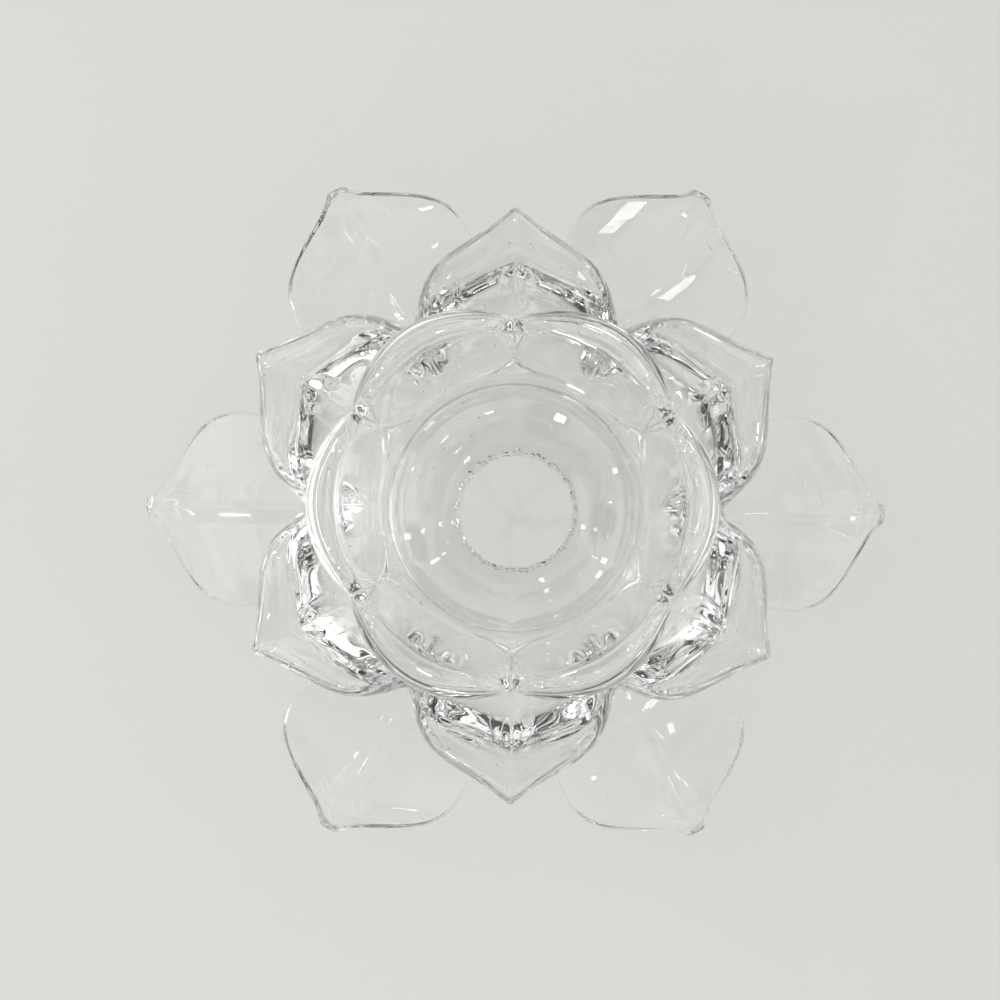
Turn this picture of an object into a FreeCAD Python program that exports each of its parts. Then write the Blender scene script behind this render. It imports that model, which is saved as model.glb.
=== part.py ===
"""Clear glass lotus tealight holder: three pressed glass tiers stacked on one axis and bonded with adhesive.

The frame is upright, +Z up, with its origin on the axis at the underside of the foot.
The outer petals lie at 0, 60, 120 ... degrees from +X, and the middle petals lie between them.
"""
import FreeCAD, Part
import math
import os

import Sketcher
from FreeCAD import Placement, Rotation, Vector

PETALS = 6
HALF_PITCH_DEG = 180 / PETALS

# Driving dimensions in millimetres: alias, value, meaning.
SIZES = [
    ("bond_radius", 9.3, "edge of both adhesive films"),
    ("bond_film", 0.2, "thickness of an adhesive film"),
    ("boss_radius", 9.8, "flat bonded boss in the middle of each tier"),
    ("clear_of_part", 80, "radius that a gap's cutter reaches out to"),
    # Outer tier
    ("foot_radius", 21, "flat ground foot"),
    ("foot_flare", 2, "how far the foot's side leans out"),
    ("foot_depth", 3.4, "height at which the saucer leaves the foot"),
    ("outer_boss_top", 9, "top of the outer tier's boss"),
    ("saucer_top", 7, "upper side of the saucer beside the boss"),
    ("saucer_flat", 20, "radius at which the petals start to rise"),
    ("outer_reach", 60, "outer petal tips, from the axis"),
    ("outer_tip_top", 20.5, "upper side of the outer tips"),
    ("outer_tip_wall", 2.6, "height of the glass at the outer tips"),
    ("saucer_curve", 110, "rise of the petals, as an arc"),
    ("nub_half_width", 1, "blunt end of an outer petal"),
    ("neck_reach", 56.5, "narrow neck behind the nub"),
    ("neck_half_width", 4.6, "half the petal's width at its neck"),
    ("neck_curve", 9, "hollow side of the nub"),
    ("wide_reach", 45.5, "widest place of an outer petal"),
    ("wide_half_width", 16, "half the petal's greatest width"),
    ("shoulder_curve", 14, "round shoulder of an outer petal"),
    ("waist_reach", 28, "narrow waist near the saucer"),
    ("waist_half_width", 10.5, "half the petal's width at its waist"),
    ("flank_curve", 45, "side of an outer petal below its widest place"),
    ("outer_root_curve", 5, "round root of the gap between outer petals"),
    # Middle tier
    ("middle_floor", 19, "inside floor of the middle bowl"),
    ("belly_radius", 34.5, "where the bowl's outside turns to flare"),
    ("belly_height", 31.5, "height of that place"),
    ("belly_curve", 34, "round belly of the bowl"),
    ("flare_curve", 40, "outward flare of the middle petals"),
    ("middle_reach", 46.5, "middle petal tips, from the axis"),
    ("middle_tip_top", 51, "height of the middle tips"),
    ("middle_tip_wall", 3, "height of the glass at the middle tips"),
    ("inner_belly_radius", 30.8, "inside of the bowl where it turns to flare"),
    ("inner_belly_height", 35, "height of that place"),
    ("inner_belly_curve", 28, "round inside of the bowl"),
    ("floor_radius", 11, "flat inside floor of the middle bowl"),
    ("point_half_width", 0.8, "blunt point of a middle petal"),
    ("edge_reach", 39.4, "end of a middle petal's straight edge"),
    ("edge_half_width", 11.4, "half the petal's width there"),
    ("middle_shoulder_reach", 34.5, "widest place of a middle petal"),
    ("middle_shoulder_half_width", 15.2, "half the petal's greatest width"),
    ("middle_shoulder_curve", 9, "round shoulder of a middle petal"),
    ("saddle_reach", 35.7, "start of the saddle between two middle petals"),
    ("saddle_half_width", 3.8, "half the saddle's width there"),
    ("saddle_curve", 4, "round root of the saddle"),
    # Candle cup
    ("seat_radius", 19.6, "straight wall that takes a 38 mm tealight"),
    ("seat_top", 43.5, "top of the straight wall"),
    ("cup_floor", 30, "inside floor of the cup"),
    ("floor_round", 1.5, "rounding between the floor and the wall"),
    ("mouth_radius", 21.6, "mouth of the cup"),
    ("mouth_height", 46.5, "height of the mouth"),
    ("crest_radius", 28, "highest ring of the lobes"),
    ("crest_height", 58, "overall height"),
    ("crest_inner_curve", 14, "inner side of a lobe's crest"),
    ("crest_outer_curve", 9, "outer side of a lobe's crest"),
    ("lobe_radius", 32.4, "outermost side of the lobes"),
    ("lobe_height", 50, "height of the outermost side"),
    ("cup_foot_radius", 12, "start of the cup's round underside"),
    ("cup_foot_rise", 0.4, "height of that start above the cup's base"),
    ("cup_foot_curve", 14, "round underside of the cup"),
    ("waist_radius", 23.2, "outside of the cup's wall, under the lip"),
    ("waist_height", 31, "height at which the lip starts to spread"),
    ("lip_curve", 27, "spreading underside of the lip"),
    ("notch_radius", 28.8, "crease between two lobes"),
    ("lobe_curve", 17.5, "round side of a lobe, seen from above"),
    ("lobe_crown", 32.9, "where two of those round sides would meet"),
]


def make_sheet(doc):
    """The spreadsheet of driving dimensions."""
    sheet = doc.addObject("Spreadsheet::Sheet", "sizes")
    for row, (alias, value, meaning) in enumerate(SIZES, start=1):
        sheet.set(f"A{row}", meaning)
        sheet.set(f"B{row}", str(value))
        sheet.setAlias(f"B{row}", alias)
    doc.recompute()
    return sheet


def new_body(doc, name, turn_deg=0.0):
    """A body whose label names its file, turned about the axis."""
    body = doc.addObject("PartDesign::Body", name)
    body.Label = name
    body.Placement = Placement(Vector(0, 0, 0), Rotation(Vector(0, 0, 1), turn_deg))
    return body


def new_sketch(body, name, role):
    """A sketch on one of the body's own origin planes."""
    sketch = body.newObject("Sketcher::SketchObject", name)
    plane = next(feature for feature in body.Origin.OriginFeatures if feature.Role == role)
    sketch.AttachmentSupport = (plane, [""])
    sketch.MapMode = "FlatFace"
    return sketch


def arc_between(start, end, radius, turn):
    """The shorter arc from start to end; turn is 1 if it bends to the left and -1 if it bends to the right."""
    chord = end - start
    middle = (start + end) * 0.5
    left = Vector(-chord.y, chord.x, 0).normalize()
    centre = middle + left * (turn * math.sqrt(max(radius**2 - (chord.Length / 2) ** 2, 0)))
    first, last = (start, end) if turn > 0 else (end, start)
    angle_first = math.atan2(first.y - centre.y, first.x - centre.x)
    angle_last = math.atan2(last.y - centre.y, last.x - centre.x)
    return Part.ArcOfCircle(Part.Circle(centre, Vector(0, 0, 1), radius), angle_first, angle_last)


def bind(sketch, kind, where, expression):
    """A dimension of the sketch, driven by an expression on the spreadsheet."""
    index = sketch.addConstraint(Sketcher.Constraint(kind, *where, float(sketch.evalExpression(expression))))
    sketch.setExpression(f"Constraints[{index}]", expression)


def draw_outline(sketch, corners, edges):
    """A closed outline. A corner is its x and y expressions. An edge leaves its corner as None for a straight
    line, or as (radius expression, turn) for an arc."""
    points = [Vector(*(float(sketch.evalExpression(part)) for part in corner), 0) for corner in corners]
    ends = []
    for index, edge in enumerate(edges):
        start, end = points[index], points[(index + 1) % len(points)]
        if edge is None:
            sketch.addGeometry(Part.LineSegment(start, end))
            ends.append((1, 2))
        else:
            radius, turn = edge
            sketch.addGeometry(arc_between(start, end, float(sketch.evalExpression(radius)), turn))
            ends.append((1, 2) if turn > 0 else (2, 1))
    for index in range(len(edges)):
        following = (index + 1) % len(edges)
        joint = Sketcher.Constraint("Coincident", index, ends[index][1], following, ends[following][0])
        sketch.addConstraint(joint)
    for index, (across, along) in enumerate(corners):
        for kind, axis, expression in (("DistanceX", -2, across), ("DistanceY", -1, along)):
            if expression == "0":
                sketch.addConstraint(Sketcher.Constraint("PointOnObject", index, ends[index][0], axis))
            else:
                bind(sketch, kind, (index, ends[index][0]), expression)
    for index, edge in enumerate(edges):
        if edge is not None:
            bind(sketch, "Radius", (index,), edge[0])


def revolve(body, name, corners, edges):
    """A full turn about the body's Z axis of a section drawn in its XZ plane."""
    sketch = new_sketch(body, name + "_section", "XZ_Plane")
    draw_outline(sketch, corners, edges)
    turned = body.newObject("PartDesign::Revolution", name)
    turned.Profile = sketch
    turned.ReferenceAxis = (sketch, ["V_Axis"])
    turned.Angle = 360
    return turned


def cut_gaps(doc, body, name, half, root_edge):
    """Six gaps, cut straight down. half lists the corners and edges of one side of a gap whose middle is +X,
    from the tip of the petal beside it to the gap's root; the other side is its mirror image."""
    corners = [corner for corner, _ in half]
    edges = [edge for _, edge in half[:-1]]
    mirrored = [(across, f"-({along})") for across, along in reversed(corners)]
    far = along_petal("sizes.clear_of_part", "0")
    outline = corners + mirrored + [(far[0], f"-({far[1]})"), far]
    if root_edge is None:  # both sides meet on the gap's middle line
        outline.remove(mirrored[0])
        sides = edges + list(reversed(edges))
    else:
        sides = edges + [root_edge] + list(reversed(edges))
    sketch = new_sketch(body, name + "_outline", "XY_Plane")
    draw_outline(sketch, outline, sides + [None, None, None])
    doc.recompute()
    whole = body.Shape.Volume
    pocket = body.newObject("PartDesign::Pocket", name)
    pocket.Profile = sketch
    pocket.Type = "ThroughAll"
    pocket.Reversed = True
    doc.recompute()
    one_gap = whole - body.Shape.Volume
    ring = body.newObject("PartDesign::PolarPattern", name + "_ring")
    ring.Originals = [pocket]
    ring.Axis = (sketch, ["N_Axis"])
    ring.Angle = 360
    ring.Occurrences = PETALS
    body.Tip = ring
    doc.recompute()
    all_gaps = whole - body.Shape.Volume
    if one_gap <= 0 or abs(all_gaps - PETALS * one_gap) > 0.01 * all_gaps:
        raise RuntimeError(f"{name} removes {all_gaps:.0f} mm3, not {PETALS} times {one_gap:.0f} mm3")


def along_petal(reach, half_width):
    """Turns a place on a petal, its reach from the axis and its half width, into x and y beside the gap."""
    slant = f"{HALF_PITCH_DEG:g} deg"
    across = f"{reach} * cos({slant}) + {half_width} * sin({slant})"
    along = f"{reach} * sin({slant}) - {half_width} * cos({slant})"
    return across, along


def make_outer_tier(doc):
    """Foot, saucer and six thin petals."""
    body = new_body(doc, "outer_petal_tier", turn_deg=HALF_PITCH_DEG)
    corners = [
        ("0", "0"),
        ("sizes.foot_radius", "0"),
        ("sizes.foot_radius + sizes.foot_flare", "sizes.foot_depth"),
        ("sizes.outer_reach", "sizes.outer_tip_top - sizes.outer_tip_wall"),
        ("sizes.outer_reach", "sizes.outer_tip_top"),
        ("sizes.saucer_flat", "sizes.saucer_top"),
        ("sizes.boss_radius + 2", "sizes.saucer_top"),
        ("sizes.boss_radius", "sizes.outer_boss_top"),
        ("0", "sizes.outer_boss_top"),
    ]
    rise = ("sizes.saucer_curve", 1)
    fall = ("sizes.saucer_curve", -1)
    revolve(body, "saucer", corners, [None, None, rise, None, fall, None, None, None, None])
    half = [
        (along_petal("sizes.outer_reach", "sizes.nub_half_width"), ("sizes.neck_curve", 1)),
        (along_petal("sizes.neck_reach", "sizes.neck_half_width"), ("sizes.shoulder_curve", -1)),
        (along_petal("sizes.wide_reach", "sizes.wide_half_width"), ("sizes.flank_curve", -1)),
        (along_petal("sizes.waist_reach", "sizes.waist_half_width"), None),
    ]
    cut_gaps(doc, body, "outer_gaps", half, root_edge=("sizes.outer_root_curve", 1))
    return body


def make_middle_tier(doc):
    """Thick bowl with six steep, flaring petals."""
    body = new_body(doc, "middle_petal_tier")
    base = "sizes.outer_boss_top + sizes.bond_film"
    corners = [
        ("0", base),
        ("sizes.boss_radius", base),
        ("sizes.belly_radius", "sizes.belly_height"),
        ("sizes.middle_reach", "sizes.middle_tip_top - sizes.middle_tip_wall"),
        ("sizes.middle_reach", "sizes.middle_tip_top"),
        ("sizes.inner_belly_radius", "sizes.inner_belly_height"),
        ("sizes.floor_radius", "sizes.middle_floor"),
        ("0", "sizes.middle_floor"),
    ]
    edges = [
        None,
        ("sizes.belly_curve", 1),
        ("sizes.flare_curve", -1),
        None,
        ("sizes.flare_curve", 1),
        ("sizes.inner_belly_curve", -1),
        None,
        None,
    ]
    revolve(body, "bowl", corners, edges)
    saddle = ("sizes.saddle_reach", "sizes.saddle_half_width")
    half = [
        (along_petal("sizes.middle_reach", "sizes.point_half_width"), None),
        (along_petal("sizes.edge_reach", "sizes.edge_half_width"), ("sizes.middle_shoulder_curve", -1)),
        (along_petal("sizes.middle_shoulder_reach", "sizes.middle_shoulder_half_width"), None),
        (saddle, None),
    ]
    cut_gaps(doc, body, "middle_gaps", half, root_edge=("sizes.saddle_curve", 1))
    return body


def make_candle_cup(doc):
    """Round cup with a straight seat for the tealight and a thick, spreading lip of six lobes."""
    body = new_body(doc, "candle_cup_tier", turn_deg=HALF_PITCH_DEG)
    base = "sizes.middle_floor + sizes.bond_film"
    corners = [
        ("0", base),
        ("sizes.boss_radius", base),
        ("sizes.cup_foot_radius", f"{base} + sizes.cup_foot_rise"),
        ("sizes.waist_radius", "sizes.waist_height"),
        ("sizes.lobe_radius", "sizes.lobe_height"),
        ("sizes.crest_radius", "sizes.crest_height"),
        ("sizes.mouth_radius", "sizes.mouth_height"),
        ("sizes.seat_radius", "sizes.seat_top"),
        ("sizes.seat_radius", "sizes.cup_floor + sizes.floor_round"),
        ("sizes.seat_radius - sizes.floor_round", "sizes.cup_floor"),
        ("0", "sizes.cup_floor"),
    ]
    edges = [
        None,
        None,
        ("sizes.cup_foot_curve", 1),
        ("sizes.lip_curve", -1),
        ("sizes.crest_outer_curve", 1),
        ("sizes.crest_inner_curve", 1),
        None,
        None,
        ("sizes.floor_round", -1),
        None,
        None,
    ]
    revolve(body, "cup", corners, edges)
    half = [
        (along_petal("sizes.lobe_crown", "0"), ("sizes.lobe_curve", -1)),
        (("sizes.notch_radius", "0"), None),
    ]
    cut_gaps(doc, body, "lobe_notches", half, root_edge=None)
    return body


def make_bond(doc, name, base):
    """A thin round film of adhesive whose underside is at the height that base gives."""
    body = new_body(doc, name)
    sketch = new_sketch(body, name + "_outline", "XY_Plane")
    sketch.setExpression("AttachmentOffset.Base.z", base)
    sketch.addGeometry(Part.Circle(Vector(0, 0, 0), Vector(0, 0, 1), 1))
    sketch.addConstraint(Sketcher.Constraint("Coincident", 0, 3, -1, 1))
    bind(sketch, "Radius", (0,), "sizes.bond_radius")
    film = body.newObject("PartDesign::Pad", name + "_film")
    film.Profile = sketch
    film.setExpression("Length", "sizes.bond_film")
    return body


def check(doc, bodies):
    """Stops if any object failed or any piece is not one valid solid."""
    for item in doc.Objects:
        if "Invalid" in item.State or "Error" in item.State:
            raise RuntimeError(f"{item.Name} failed: {item.State}")
    for body in bodies:
        shape = body.Shape
        if shape.isNull() or not shape.isValid() or len(shape.Solids) != 1:
            raise RuntimeError(f"{body.Label} is not one valid solid")


def main():
    doc = FreeCAD.newDocument("glass_lotus_tealight_holder")
    make_sheet(doc)
    bodies = [
        make_outer_tier(doc),
        make_bond(doc, "lower_adhesive_bond", "sizes.outer_boss_top"),
        make_middle_tier(doc),
        make_bond(doc, "upper_adhesive_bond", "sizes.middle_floor"),
        make_candle_cup(doc),
    ]
    doc.recompute()
    check(doc, bodies)
    os.makedirs("parts", exist_ok=True)
    for body in bodies:
        box = body.Shape.BoundBox
        size = " x ".join(f"{length:.2f}" for length in (box.XLength, box.YLength, box.ZLength))
        print(f"{body.Label}: {size} mm from z = {box.ZMin:.2f}, {body.Shape.Volume / 1000:.2f} cm3")
        body.Shape.exportStep(os.path.join("parts", body.Label + ".step"))


main()
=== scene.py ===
"""Looks of the clear glass lotus tealight holder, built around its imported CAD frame.

Each glass tier is a closed six-fold shell: a cage of rows (along a petal) and columns (across it) for its
upper and its lower side, joined round the rim and rounded by subdivision, as fire-polished glass is.
Shapes are written in millimetres about the holder's axis and scaled to metres when the mesh is made.
"""

import math

import bmesh
import bpy
from mathutils import Matrix, Vector


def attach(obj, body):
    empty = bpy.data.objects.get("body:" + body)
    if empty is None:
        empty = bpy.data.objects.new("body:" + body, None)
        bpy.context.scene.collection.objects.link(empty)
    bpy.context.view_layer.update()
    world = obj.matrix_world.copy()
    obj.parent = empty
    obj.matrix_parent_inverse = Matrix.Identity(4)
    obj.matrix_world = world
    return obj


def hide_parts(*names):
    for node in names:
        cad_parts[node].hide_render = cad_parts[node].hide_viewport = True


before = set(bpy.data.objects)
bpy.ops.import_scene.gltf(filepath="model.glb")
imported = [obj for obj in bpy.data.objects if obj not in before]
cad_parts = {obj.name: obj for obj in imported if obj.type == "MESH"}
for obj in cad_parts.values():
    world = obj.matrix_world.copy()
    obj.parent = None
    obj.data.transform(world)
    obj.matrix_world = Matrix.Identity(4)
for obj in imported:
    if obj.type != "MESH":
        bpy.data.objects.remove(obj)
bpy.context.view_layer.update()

MM = 0.001
PETALS = 6
PITCH = 2 * math.pi / PETALS
HALF_PITCH = PITCH / 2

# Heights in the stack, and the radius of both films of adhesive.
LOWER_BOND_BASE = 9.0
LOWER_BOND_TOP = 9.2
UPPER_BOND_BASE = 19.0
UPPER_BOND_TOP = 19.2
CUP_FLOOR = 30.0
BOND_RADIUS = 9.3
VALLEY_CREASE = 0.3


# ---------------------------------------------------------------- shapes

def spread(stops):
    """Column places from -1 to 1, mirrored from stops between 0 and 1."""
    return [-stop for stop in reversed(stops[1:])] + list(stops)


def turned(x, y, z, angle):
    """A point in millimetres turned about the axis, in metres."""
    across = x * math.cos(angle) - y * math.sin(angle)
    along = x * math.sin(angle) + y * math.cos(angle)
    return Vector((across, along, z)) * MM


def bond_edge(angle):
    """Radius of the slightly uneven edge of the adhesive."""
    fine = 0.05 * math.sin(29 * angle + 1) + 0.04 * math.sin(43 * angle)
    return BOND_RADIUS + 0.06 * math.sin(17 * angle) + fine


def smooth_between(before, start, end, after, t):
    """The value a share t of the way from start to end, on a smooth curve through all four values."""
    slope = t * (end - before) / 2
    bend = t * t * (before - 2.5 * start + 2 * end - after / 2)
    turn = t**3 * (1.5 * (start - end) + (after - before) / 2)
    return start + slope + bend + turn


def fine_rows(profile, steps):
    """A profile with extra rows on a smooth curve through its own, and one halfway along the end."""
    rows = []
    last = len(profile) - 1
    for index in range(last - 1):
        neighbours = (profile[max(index - 1, 0)], profile[index], profile[index + 1], profile[index + 2])
        for step in range(steps):
            rows.append(tuple(smooth_between(*values, step / steps) for values in zip(*neighbours)))
    halfway = tuple((a + b) / 2 for a, b in zip(profile[last - 1], profile[last]))
    return rows + [profile[last - 1], halfway, profile[last]]


class Shell:
    """A closed six-fold shell of two sheets of points, with a bonded disc in the middle of each side."""

    def __init__(self, name, columns, rows, root_row):
        self.name = name
        self.bm = bmesh.new()
        self.crease = self.bm.edges.layers.float.new("crease_edge")
        self.columns = columns
        self.rows = rows
        self.root_row = root_row
        self.sheets = {}

    def sheet(self, side, place, first_angle, centre_z, crease_from=None):
        """Adds one side. place(petal, row, column) gives a point's x, y and z in the petal's own frame.
        From the row crease_from on, the line between two petals stays fairly sharp."""
        self.sheets[side] = self.add_points(place, first_angle)
        self.add_faces(side, centre_z)
        if crease_from is not None:
            self.crease_valleys(side, crease_from)

    def add_points(self, place, first_angle):
        """The points of one side. Petals share their side columns up to the root row."""
        grid = {}
        last = self.columns - 1
        for petal in range(PETALS):
            for row in range(self.rows):
                shared = row <= self.root_row
                for column in range(self.columns):
                    if shared and column == 0 and petal > 0:
                        grid[petal, row, column] = grid[petal - 1, row, last]
                    elif shared and column == last and petal == PETALS - 1:
                        grid[petal, row, column] = grid[0, row, 0]
                    else:
                        point = turned(*place(petal, row, column), first_angle + petal * PITCH)
                        if row == 0:
                            point.xy *= bond_edge(math.atan2(point.y, point.x)) * MM / point.xy.length
                        grid[petal, row, column] = self.bm.verts.new(point)
        return grid

    def add_faces(self, side, centre_z):
        """The faces of one side. The bonded disc in the middle is the second material."""
        grid = self.sheets[side]
        pole = self.bm.verts.new(Vector((0, 0, centre_z * MM)))
        for petal in range(PETALS):
            for column in range(self.columns - 1):
                strip = [
                    (grid[petal, row, column], grid[petal, row, column + 1]) for row in range(self.rows)
                ]
                self.face(side, (pole, *strip[0])).material_index = 1
                self.bm.edges.get(strip[0])[self.crease] = 1.0
                for (left, right), (next_left, next_right) in zip(strip, strip[1:]):
                    self.face(side, (left, next_left, next_right, right))

    def crease_valleys(self, side, first_row):
        """Keeps the line between two petals fairly sharp from a row on."""
        grid = self.sheets[side]
        for petal in range(PETALS):
            for row in range(first_row, self.rows - 1):
                edge = self.bm.edges.get((grid[petal, row, 0], grid[petal, row + 1, 0]))
                edge[self.crease] = VALLEY_CREASE

    def face(self, side, corners):
        """A face that looks up on the upper side and down on the lower side."""
        return self.bm.faces.new(corners if side == "upper" else tuple(reversed(corners)))

    def rim_path(self, side):
        """The vertices round the rim of one side, petal by petal."""
        grid, last, end = self.sheets[side], self.columns - 1, self.rows - 1
        path = []
        for petal in range(PETALS):
            path += [grid[petal, row, 0] for row in range(self.root_row, end)]
            path += [grid[petal, end, column] for column in range(last)]
            path += [grid[petal, row, last] for row in range(end, self.root_row, -1)]
        return path

    def close_rim(self):
        """Joins the two sides all the way round the petals."""
        upper, lower = self.rim_path("upper"), self.rim_path("lower")
        for index in range(len(upper)):
            following = (index + 1) % len(upper)
            self.bm.faces.new((upper[index], lower[index], lower[following], upper[following]))

    def build(self, levels):
        """The finished piece."""
        self.close_rim()
        return finish_mesh(self.name, self.bm, levels)


def finish_mesh(name, bm, levels):
    """Turns a cage into a smooth-shaded object with the given subdivision."""
    bmesh.ops.recalc_face_normals(bm, faces=bm.faces)
    mesh = bpy.data.meshes.new(name)
    for face in bm.faces:
        face.smooth = True
    bm.to_mesh(mesh)
    bm.free()
    piece = bpy.data.objects.new(name, mesh)
    bpy.context.collection.objects.link(piece)
    if levels:
        rounding = piece.modifiers.new("fire_polish", "SUBSURF")
        rounding.levels = levels
        rounding.render_levels = levels
    return piece


# Outer tier. Rows up to the root are rings round the hub: radius and height.
OUTER_HUB_TOP = [
    (BOND_RADIUS, LOWER_BOND_BASE),
    (9.9, 8.9),
    (11.2, 7.5),
    (13.2, 7.05),
    (17, 7.0),
    (20.5, 7.1),
]
OUTER_HUB_UNDER = [(BOND_RADIUS, 0.0), (14, 0.0), (18.8, 0.0), (20.6, 0.0), (21.4, 0.4), (22.8, 3.0)]
# Rows of a petal: reach along its middle, then reach and half width of its edge.
OUTER_PETAL_ROWS = [
    (24.5, 21.2, 12.25),
    (27.0, 23.9, 10.2),
    (29.8, 27.3, 10.4),
    (33.5, 31.8, 12.1),
    (38.0, 37.0, 14.3),
    (43.0, 42.2, 15.9),
    (47.3, 46.8, 16.1),
    (50.8, 50.4, 14.6),
    (53.7, 53.3, 11.2),
    (56.1, 55.6, 7.2),
    (58.0, 57.3, 3.9),
    (59.2, 58.7, 2.3),
    (59.95, 59.8, 1.3),
]
OUTER_COLUMNS = spread([0, 0.07, 0.2, 0.42, 0.62, 0.79, 0.92, 0.975, 1])
SAUCER_CURVE = 110
OUTER_TOP_CENTRE = (5.45, 116.03)
OUTER_UNDER_CENTRE = (2.01, 111.38)
KEEL_DEPTH = 0.22


def saucer_height(centre, radius):
    """Height of one side of the saucer: an arc round a centre given as radius and height."""
    return centre[1] - math.sqrt(SAUCER_CURVE**2 - (radius - centre[0]) ** 2)


def petal_wave(petal, reach, across):
    """Slight unevenness of a hand-finished petal, in millimetres."""
    grow = min(max((reach - 24) / 20, 0), 1)
    return grow * (
        0.35 * math.sin(0.16 * reach + 1.9 * petal + 1.3 * across)
        + 0.25 * math.sin(2.4 * across + 2.7 * petal)
    )


def outer_point(side, petal, row, column):
    """A point of one side of an outer petal, in the petal's own frame."""
    across = OUTER_COLUMNS[column]
    hub = OUTER_HUB_TOP if side == "upper" else OUTER_HUB_UNDER
    if row < len(hub):
        radius, height = hub[row]
        angle = across * HALF_PITCH
        return radius * math.cos(angle), radius * math.sin(angle), height
    middle, edge_reach, edge_width = OUTER_PETAL_ROWS[row - len(hub)]
    x = middle + (edge_reach - middle) * across**2
    y = edge_width * across
    radius = math.hypot(x, y)
    nub = math.exp(-(((radius - 58.9) / 1.1) ** 2))
    if side == "upper":
        z = saucer_height(OUTER_TOP_CENTRE, radius) - KEEL_DEPTH * math.exp(-((y / 1.2) ** 2)) + 0.6 * nub
    else:
        z = saucer_height(OUTER_UNDER_CENTRE, radius) - 0.3 * nub
    return x, y, z + petal_wave(petal, radius, across)


def make_outer_tier():
    """The foot, the saucer and six thin petals."""
    rows = len(OUTER_HUB_TOP) + len(OUTER_PETAL_ROWS)
    shell = Shell("outer_petals", len(OUTER_COLUMNS), rows, root_row=len(OUTER_HUB_TOP))

    def place(side):
        def point(petal, row, column):
            return outer_point(side, petal, row, column)

        return point

    shell.sheet("upper", place("upper"), 0, LOWER_BOND_BASE)
    shell.sheet("lower", place("lower"), 0, 0.0)
    return shell.build(levels=2)


# Middle tier. Each row gives radius and height at a petal's middle, then at the saddle between two petals.
MIDDLE_OUTSIDE = [
    (BOND_RADIUS, LOWER_BOND_TOP, BOND_RADIUS, LOWER_BOND_TOP),
    (9.9, 9.25, 9.9, 9.25),
    (13, 10.0, 13, 10.1),
    (18, 12.2, 18, 12.6),
    (24, 16.6, 23, 17),
    (30, 22.6, 27, 21.8),
    (34.8, 29.0, 29.8, 26.3),
    (38.2, 36.0, 31.4, 29.5),
    (40.6, 41.8, 32.3, 31.2),
    (42.6, 45.2, 32.8, 32.2),
    (45.0, 47.8, 33.1, 32.9),
    (47.4, 49.5, 33.3, 33.6),
]
MIDDLE_INSIDE = [
    (BOND_RADIUS, UPPER_BOND_BASE, BOND_RADIUS, UPPER_BOND_BASE),
    (10.6, UPPER_BOND_BASE, 10.6, UPPER_BOND_BASE),
    (15, 19.8, 15, 19.8),
    (19.5, 22.0, 19.5, 22.0),
    (24.2, 25.6, 22.5, 24.6),
    (28.6, 30.0, 25.3, 27.6),
    (32.6, 35.2, 27.6, 30.6),
    (36.2, 40.8, 29.2, 33.0),
    (39.2, 45.8, 30.4, 34.4),
    (41.6, 48.9, 31.2, 35.1),
    (44.1, 51.2, 31.7, 35.4),
    (46.6, 52.3, 32.3, 35.2),
]
# Places of the columns, from a petal's middle (0) to its side (1).
MIDDLE_STOPS = [0, 0.04, 0.12, 0.25, 0.38, 0.5, 0.62, 0.73, 0.83, 0.91, 0.965, 1]
# How far each column belongs to the petal's middle (1) rather than to the saddle (0), seen from above: a
# pointed tip, straight edges, then a rounded shoulder.
MIDDLE_SHARES = [1, 0.94, 0.84, 0.735, 0.655, 0.59, 0.51, 0.40, 0.25, 0.11, 0.03, 0]
MIDDLE_COLUMNS = spread(MIDDLE_STOPS)
MIDDLE_STEPS = 4


def middle_share(column, level):
    """The bowl under the rim is rounder than the pointed rim. Level is the row in the short table."""
    pointed = MIDDLE_SHARES[abs(column - len(MIDDLE_STOPS) + 1)]
    roundness = 0.45 * min(max((len(MIDDLE_INSIDE) - 3 - level) / 4, 0), 1)
    return pointed ** (1 - roundness)


def press_ripple(petal, level, across):
    """Fine steps that the press left on the steep part of each petal, in millimetres."""
    steep = math.exp(-(((level - 6.6) / 1.8) ** 2))
    fade = 0.75 + 0.25 * math.sin(2.1 * petal + 3 * across)
    along = 0.09 * math.sin(2 * math.pi * 0.55 * level + 0.8 * petal + 2.0 * abs(across))
    swirl = 0.09 * math.sin(7 * across + 1.7 * level + 2.1 * petal)
    return steep * fade * (along + swirl)


def blended_point(row, across, radius_share, height_share):
    """A point between the two sections that a row gives."""
    radius_middle, height_middle, radius_side, height_side = row
    radius = radius_side + (radius_middle - radius_side) * radius_share
    height = height_side + (height_middle - height_side) * height_share
    angle = across * HALF_PITCH
    return radius * math.cos(angle), radius * math.sin(angle), height


def make_middle_tier():
    """The thick bowl with six steep petals."""
    outside, inside = fine_rows(MIDDLE_OUTSIDE, MIDDLE_STEPS), fine_rows(MIDDLE_INSIDE, MIDDLE_STEPS)
    shell = Shell("middle_petals", len(MIDDLE_COLUMNS), len(inside), root_row=len(inside) - 1)

    def outer_face(petal, row, column):
        across, level = MIDDLE_COLUMNS[column], row / MIDDLE_STEPS
        share = middle_share(column, level)
        x, y, z = blended_point(outside[row], across, share, share)
        return x, y, z + press_ripple(petal + 3, level + 0.4, across)

    def inner_face(petal, row, column):
        across, level = MIDDLE_COLUMNS[column], row / MIDDLE_STEPS
        share = middle_share(column, level)
        x, y, z = blended_point(inside[row], across, share, share)
        return x, y, z + press_ripple(petal, level, across)

    shell.sheet("upper", inner_face, HALF_PITCH, UPPER_BOND_BASE)
    shell.sheet("lower", outer_face, HALF_PITCH, LOWER_BOND_TOP)
    return shell.build(levels=1)


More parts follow.
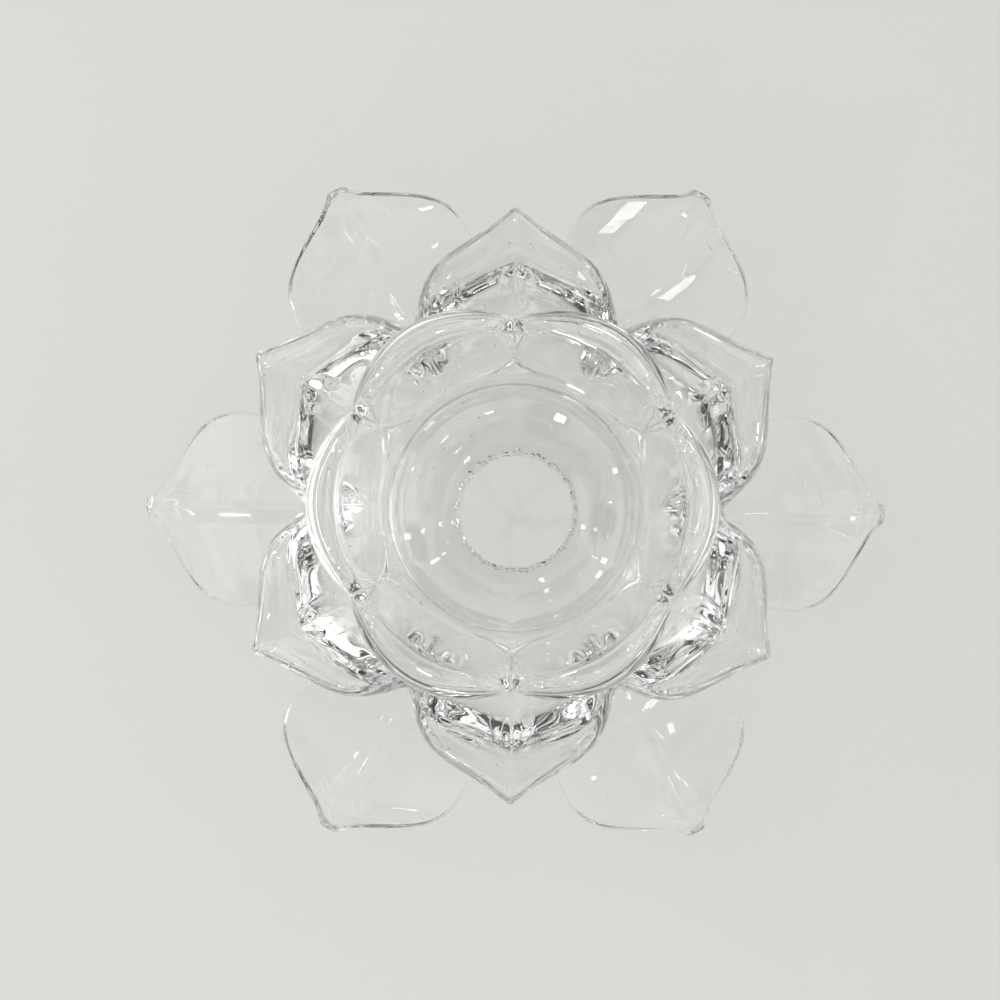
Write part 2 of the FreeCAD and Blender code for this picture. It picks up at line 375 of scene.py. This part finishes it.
# Candle cup. Each row gives radius and height at a lobe's middle, then at the notch between two lobes.
CUP_OUTSIDE = [
    (BOND_RADIUS, UPPER_BOND_TOP, BOND_RADIUS, UPPER_BOND_TOP),
    (10.2, UPPER_BOND_TOP, 10.2, UPPER_BOND_TOP),
    (14, 20.2, 14, 20.2),
    (19.4, 22.6, 19.4, 22.6),
    (22.8, 26.6, 22.8, 26.6),
    (22.9, 34.0, 22.8, 34.0),
    (25.2, 41.0, 24.6, 40.4),
    (28.5, 45.2, 27.0, 43.8),
    (32.0, 49.5, 28.9, 47.2),
    (32.3, 53.8, 29.2, 49.6),
    (30.6, 57.1, 28.8, 51.1),
]
CUP_INSIDE = [
    (BOND_RADIUS, CUP_FLOOR, BOND_RADIUS, CUP_FLOOR),
    (13, CUP_FLOOR, 13, CUP_FLOOR),
    (17.6, CUP_FLOOR, 17.6, CUP_FLOOR),
    (19.0, CUP_FLOOR, 19.0, CUP_FLOOR),
    (19.6, 30.6, 19.6, 30.6),
    (20.0, 37, 20.0, 37),
    (20.5, 43, 20.5, 43),
    (21.6, 46.0, 21.6, 45.0),
    (22.9, 49.8, 24.0, 47.8),
    (24.8, 54.2, 26.3, 49.8),
    (27.5, 58.0, 27.9, 51.4),
]
CUP_COLUMNS = spread([0, 0.16, 0.33, 0.5, 0.66, 0.8, 0.9, 0.965, 1])
CUP_STEPS = 3
LOBE_CENTRE = 15.0
LOBE_CURVE = 17.5


def lobe_share(across):
    """How far a column belongs to the lobe's middle (1) rather than to the notch (0), for a lobe that is an
    arc seen from above."""
    angle = across * HALF_PITCH
    reach = LOBE_CENTRE * math.cos(angle) + math.sqrt(LOBE_CURVE**2 - (LOBE_CENTRE * math.sin(angle)) ** 2)
    crest = LOBE_CENTRE + LOBE_CURVE
    notch = LOBE_CENTRE * math.cos(HALF_PITCH)
    notch += math.sqrt(LOBE_CURVE**2 - (LOBE_CENTRE * math.sin(HALF_PITCH)) ** 2)
    return (reach - notch) / (crest - notch)


def make_cup_tier():
    """The candle cup and its six lobes, with valleys between them that run in to the mouth."""
    outside, inside = fine_rows(CUP_OUTSIDE, CUP_STEPS), fine_rows(CUP_INSIDE, CUP_STEPS)
    shell = Shell("candle_cup", len(CUP_COLUMNS), len(inside), root_row=len(inside) - 1)

    def place(rows):
        def point(petal, row, column):
            across = CUP_COLUMNS[column]
            return blended_point(rows[row], across, lobe_share(across), 1 - abs(across) ** 9)

        return point

    shell.sheet("upper", place(inside), 0, CUP_FLOOR, crease_from=7 * CUP_STEPS)
    shell.sheet("lower", place(outside), 0, UPPER_BOND_TOP, crease_from=6 * CUP_STEPS)
    return shell.build(levels=1)


def make_bond(name, base, top):
    """A round film of adhesive with an uneven rim that bulges out between the two bosses."""
    bm = bmesh.new()
    steps = 360
    rings = []
    for share in (0, 0.3, 0.7, 1):
        ring = []
        for step in range(steps):
            angle = 2 * math.pi * step / steps
            beads = 0.16 * math.sin(23 * angle + 2 * math.sin(3 * angle)) + 0.12 * math.sin(59 * angle + 1)
            radius = bond_edge(angle) + 4 * share * (1 - share) * (0.30 + beads)
            ring.append(bm.verts.new(turned(radius, 0, base + (top - base) * share, angle)))
        rings.append(ring)
    for low, high in zip(rings, rings[1:]):
        for step in range(steps):
            following = (step + 1) % steps
            bm.faces.new((low[step], low[following], high[following], high[step]))
    for ring, height in ((rings[0], base), (rings[-1], top)):
        pole = bm.verts.new(Vector((0, 0, height * MM)))
        for step in range(steps):
            bm.faces.new((pole, ring[step], ring[(step + 1) % steps])).material_index = 1
    return finish_mesh(name, bm, levels=0)


# ---------------------------------------------------------------- materials

def new_material(name):
    """An empty node material with its output."""
    material = bpy.data.materials.new(name)
    material.use_nodes = True
    nodes = material.node_tree.nodes
    nodes.clear()
    output = nodes.new("ShaderNodeOutputMaterial")
    return material, nodes, material.node_tree.links, output


def pressed_surface(nodes, links, place):
    """Surface direction of pressed glass: faint waves all over and a few shallow pits."""
    wave = nodes.new("ShaderNodeTexNoise")
    wave.inputs["Scale"].default_value = 60
    wave.inputs["Detail"].default_value = 1
    links.new(place, wave.inputs["Vector"])
    bump = nodes.new("ShaderNodeBump")
    bump.inputs["Strength"].default_value = 0.03
    bump.inputs["Distance"].default_value = 0.0008
    links.new(wave.outputs["Fac"], bump.inputs["Height"])
    specks = nodes.new("ShaderNodeTexNoise")
    specks.inputs["Scale"].default_value = 650
    specks.inputs["Detail"].default_value = 0
    links.new(place, specks.inputs["Vector"])
    sparse = nodes.new("ShaderNodeMapRange")
    sparse.inputs["From Min"].default_value = 0.80
    sparse.inputs["From Max"].default_value = 0.88
    links.new(specks.outputs["Fac"], sparse.inputs["Value"])
    pits = nodes.new("ShaderNodeBump")
    pits.inputs["Strength"].default_value = 0.5
    pits.inputs["Distance"].default_value = 0.0003
    pits.invert = True
    links.new(sparse.outputs["Result"], pits.inputs["Height"])
    links.new(bump.outputs["Normal"], pits.inputs["Normal"])
    return pits.outputs["Normal"]


def glass_material(name):
    """Clear pressed glass. Light for shadows and for the floor goes straight through it."""
    material, nodes, links, output = new_material(name)
    glass = nodes.new("ShaderNodeBsdfPrincipled")
    glass.inputs["Base Color"].default_value = (0.985, 0.99, 0.985, 1)
    glass.inputs["Roughness"].default_value = 0.0
    glass.inputs["IOR"].default_value = 1.5
    glass.inputs["Transmission Weight"].default_value = 1.0
    place = nodes.new("ShaderNodeTexCoord")
    links.new(pressed_surface(nodes, links, place.outputs["Object"]), glass.inputs["Normal"])
    passing = nodes.new("ShaderNodeBsdfTransparent")
    passing.inputs["Color"].default_value = (0.975, 0.977, 0.975, 1)
    path = nodes.new("ShaderNodeLightPath")
    lighting = nodes.new("ShaderNodeMath")
    lighting.operation = "MAXIMUM"
    links.new(path.outputs["Is Shadow Ray"], lighting.inputs[0])
    links.new(path.outputs["Is Diffuse Ray"], lighting.inputs[1])
    mix = nodes.new("ShaderNodeMixShader")
    links.new(lighting.outputs["Value"], mix.inputs["Fac"])
    links.new(glass.outputs["BSDF"], mix.inputs[1])
    links.new(passing.outputs["BSDF"], mix.inputs[2])
    links.new(mix.outputs["Shader"], output.inputs["Surface"])
    return material


def adhesive_material(name):
    """Clear adhesive, rough and bubbly where it was squeezed out at the rim."""
    material, nodes, links, output = new_material(name)
    clear = nodes.new("ShaderNodeBsdfPrincipled")
    clear.inputs["Base Color"].default_value = (0.93, 0.93, 0.90, 1)
    clear.inputs["Roughness"].default_value = 0.05
    clear.inputs["IOR"].default_value = 1.48
    clear.inputs["Transmission Weight"].default_value = 1.0
    place = nodes.new("ShaderNodeTexCoord")
    bubbles = nodes.new("ShaderNodeTexNoise")
    bubbles.inputs["Scale"].default_value = 1800
    bubbles.inputs["Detail"].default_value = 1
    links.new(place.outputs["Object"], bubbles.inputs["Vector"])
    bump = nodes.new("ShaderNodeBump")
    bump.inputs["Strength"].default_value = 1.0
    bump.inputs["Distance"].default_value = 0.0006
    links.new(bubbles.outputs["Fac"], bump.inputs["Height"])
    links.new(bump.outputs["Normal"], clear.inputs["Normal"])
    links.new(clear.outputs["BSDF"], output.inputs["Surface"])
    return material


def bonded_face_material(name):
    """A face wetted by the adhesive, where no surface shows because glass runs on into adhesive."""
    material, nodes, links, output = new_material(name)
    clear = nodes.new("ShaderNodeBsdfTransparent")
    links.new(clear.outputs["BSDF"], output.inputs["Surface"])
    return material


def floor_material():
    """Plain matt paper."""
    material, nodes, links, output = new_material("pale_floor")
    paint = nodes.new("ShaderNodeBsdfPrincipled")
    paint.inputs["Base Color"].default_value = (0.565, 0.56, 0.54, 1)
    paint.inputs["Roughness"].default_value = 1.0
    paint.inputs["Specular IOR Level"].default_value = 0.0
    links.new(paint.outputs["BSDF"], output.inputs["Surface"])
    return material


def dress(piece, *materials):
    """Gives a piece its materials, in order."""
    for material in materials:
        piece.data.materials.append(material)


# ---------------------------------------------------------------- stage

# Metres.
FLOOR_RADIUS = 0.60
CAMERA_AIM = Vector((-0.0020, 0.0008, 0.050))
CAMERA_DISTANCE = 0.8
# Degrees: how far the camera stands off from straight above, along X and along Y, and its roll.
CAMERA_LEAN_X = 0.97
CAMERA_LEAN_Y = -1.67
CAMERA_ROLL = 0.6
# Millimetres.
CAMERA_LENS = 184.3
CAMERA_SENSOR = 36


def make_floor():
    """A round pale floor just under the foot."""
    bm = bmesh.new()
    bmesh.ops.create_circle(bm, cap_ends=True, segments=96, radius=FLOOR_RADIUS)
    floor = finish_mesh("floor", bm, levels=0)
    floor.location.z = -0.2 * MM
    dress(floor, floor_material())


def add_softbox(name, place, size, power):
    """A rectangular lamp that faces the middle of the floor."""
    light = bpy.data.lights.new(name, "AREA")
    light.shape = "RECTANGLE"
    light.size, light.size_y = size
    light.energy = power
    lamp = bpy.data.objects.new(name, light)
    lamp.location = place
    lamp.rotation_mode = "QUATERNION"
    lamp.rotation_quaternion = (-Vector(place)).to_track_quat("-Z", "Y")
    bpy.context.collection.objects.link(lamp)


# Brightness of the room by height: the sine of the angle above the horizon, from 0 to 1.
STUDIO_DOME = [(0.0, 0.01), (0.55, 0.02), (0.60, 0.85), (0.70, 1.0), (0.9, 0.55), (1.0, 0.36)]
# Lighter and darker places of the room, as seen in the glass: direction, half angle and softness in degrees,
# colour.
STUDIO_PATCHES = [
    ((1, 0.1, 0.45), 27, 5, (1.8, 1.8, 1.78)),
    ((1, -0.3, -0.1), 16, 4, (1.6, 1.6, 1.58)),
    ((-1, 0.4, 0.8), 22, 4, (1.3, 1.3, 1.29)),
    ((-1, -0.2, 0.1), 8, 3, (0.9, 0.9, 0.89)),
    ((0.5, -0.9, 0.8), 14, 3, (1.1, 1.1, 1.09)),
    ((0.1, 0.9, 0.9), 14, 3, (1.2, 1.2, 1.19)),
    ((0, 0, 1), 15, 2, (0.03, 0.03, 0.033)),
    ((0, -1, 0.2), 24, 3, (0.09, 0.075, 0.05)),
    ((-0.3, 1, 0.35), 14, 2, (0.03, 0.03, 0.03)),
    ((-1, -0.6, 0.4), 13, 2, (0.03, 0.03, 0.03)),
    ((0.8, 0.3, 0.8), 8, 1.5, (0.04, 0.04, 0.04)),
    ((1, -0.35, 0.25), 7, 1.5, (0.04, 0.04, 0.04)),
    ((-0.3, -0.8, 0.9), 9, 1.5, (0.04, 0.04, 0.04)),
    ((-0.7, 0.1, 0.9), 7, 1.5, (0.04, 0.04, 0.04)),
]


def dome_colour(nodes, links, direction):
    """Colour of the room by height."""
    split = nodes.new("ShaderNodeSeparateXYZ")
    links.new(direction, split.inputs["Vector"])
    dome = nodes.new("ShaderNodeValToRGB")
    links.new(split.outputs["Z"], dome.inputs["Fac"])
    steps = dome.color_ramp.elements
    steps.remove(steps[1])
    for position, grey in STUDIO_DOME:
        step = steps[0] if position == 0 else steps.new(position)
        step.color = (grey, grey * 0.995, grey * 0.975, 1)
    return dome.outputs["Color"]


def add_patch(nodes, links, direction, colour, patch):
    """The room's colour with one round, soft-edged patch laid over it."""
    middle, half_angle, softness, tint = patch
    facing = nodes.new("ShaderNodeVectorMath")
    facing.operation = "DOT_PRODUCT"
    facing.inputs[1].default_value = Vector(middle).normalized()
    links.new(direction, facing.inputs[0])
    edge = nodes.new("ShaderNodeMapRange")
    edge.inputs["From Min"].default_value = math.cos(math.radians(half_angle + softness))
    edge.inputs["From Max"].default_value = math.cos(math.radians(half_angle - softness))
    links.new(facing.outputs["Value"], edge.inputs["Value"])
    over = nodes.new("ShaderNodeMix")
    over.data_type = "RGBA"
    links.new(edge.outputs["Result"], over.inputs["Factor"])
    links.new(colour, over.inputs["A"])
    over.inputs["B"].default_value = (*tint, 1)
    return over.outputs["Result"]


def make_world():
    """A studio, dark low down and bright above, with lighter and darker places. The camera sees it only in
    the glass: where it looks past the holder there is one plain tone."""
    world = bpy.data.worlds.new("studio")
    bpy.context.scene.world = world
    world.use_nodes = True
    nodes, links = world.node_tree.nodes, world.node_tree.links
    nodes.clear()
    output = nodes.new("ShaderNodeOutputWorld")
    direction = nodes.new("ShaderNodeTexCoord").outputs["Generated"]
    colour = dome_colour(nodes, links, direction)
    for patch in STUDIO_PATCHES:
        colour = add_patch(nodes, links, direction, colour, patch)
    studio = nodes.new("ShaderNodeBackground")
    links.new(colour, studio.inputs["Color"])
    plain = nodes.new("ShaderNodeBackground")
    plain.inputs["Color"].default_value = (0.665, 0.66, 0.638, 1)
    path = nodes.new("ShaderNodeLightPath")
    mix = nodes.new("ShaderNodeMixShader")
    links.new(path.outputs["Is Camera Ray"], mix.inputs["Fac"])
    links.new(studio.outputs["Background"], mix.inputs[1])
    links.new(plain.outputs["Background"], mix.inputs[2])
    links.new(mix.outputs["Shader"], output.inputs["Surface"])


def make_camera():
    """Looks down into the cup from slightly to the front and right of the axis."""
    lean_x, lean_y = math.radians(CAMERA_LEAN_X), math.radians(CAMERA_LEAN_Y)
    back = Vector((math.tan(lean_x), math.tan(lean_y), 1)).normalized()
    data = bpy.data.cameras.new("camera")
    data.sensor_width = CAMERA_SENSOR
    data.lens = CAMERA_LENS
    camera = bpy.data.objects.new("camera", data)
    bpy.context.collection.objects.link(camera)
    right = Vector((0, 1, 0)).cross(back).normalized()
    level = Matrix((right, back.cross(right), back)).transposed()
    roll = Matrix.Rotation(math.radians(CAMERA_ROLL), 3, "Z")
    camera.location = CAMERA_AIM + back * CAMERA_DISTANCE
    camera.rotation_mode = "QUATERNION"
    camera.rotation_quaternion = (level @ roll).to_quaternion()
    bpy.context.scene.camera = camera


# Small softboxes round the holder: direction and height above the floor in degrees, distance and size in
# metres, power in watts.
SOFTBOXES = [
    (243, 47, 1.2, (0.09, 0.12), 4.2),
    (150, 46, 0.9, (0.04, 0.06), 1.4),
    (112, 60, 2.4, (0.06, 0.16), 3),
    (35, 50, 2.4, (0.06, 0.20), 2.6),
    (-20, 38, 2.4, (0.06, 0.20), 2.6),
    (-75, 48, 2.4, (0.14, 0.05), 3),
    (142, 42, 2.4, (0.12, 0.12), 2),
    (200, 40, 2.4, (0.08, 0.30), 3),
    (70, 30, 2.4, (0.30, 0.06), 2),
    (165, 64, 2.4, (0.05, 0.12), 1.2),
    (-45, 66, 2.4, (0.12, 0.05), 1.2),
    (15, 70, 2.4, (0.05, 0.10), 1.0),
]


def make_lights():
    """All the softboxes."""
    for index, (turn, height, distance, size, power) in enumerate(SOFTBOXES):
        turn, height = math.radians(turn), math.radians(height)
        level = distance * math.cos(height)
        place = (level * math.cos(turn), level * math.sin(turn), distance * math.sin(height))
        add_softbox(f"softbox_{index}", place, size, power)


def make_holder():
    """Builds the five pieces and puts them in place of the CAD's."""
    outer = make_outer_tier()
    middle = make_middle_tier()
    cup = make_cup_tier()
    lower_bond = make_bond("lower_bond", LOWER_BOND_BASE, LOWER_BOND_TOP)
    upper_bond = make_bond("upper_bond", UPPER_BOND_BASE, UPPER_BOND_TOP)
    glass = glass_material("clear_glass")
    adhesive = adhesive_material("clear_adhesive")
    bonded = bonded_face_material("bonded_face")
    for piece, node, slot, material in (
        (outer, "outer_petal_tier", "outer_glass", glass),
        (lower_bond, "lower_adhesive_bond", "clear_adhesive", adhesive),
        (middle, "middle_petal_tier", "middle_glass", glass),
        (upper_bond, "upper_adhesive_bond", "clear_adhesive", adhesive),
        (cup, "candle_cup_tier", "cup_glass", glass),
    ):
        dress(piece, material, bonded)
        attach(piece, "root")
        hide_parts(node)


def trace_glass():
    """Lets light pass through as many layers of glass as the stack has."""
    settings = bpy.context.scene.cycles
    settings.max_bounces = 32
    settings.transmission_bounces = 28
    settings.glossy_bounces = 16
    settings.transparent_max_bounces = 32
    settings.caustics_reflective = False
    settings.caustics_refractive = False
    bpy.context.scene.view_settings.view_transform = "Standard"


make_holder()
make_floor()
make_world()
make_lights()
make_camera()
trace_glass()
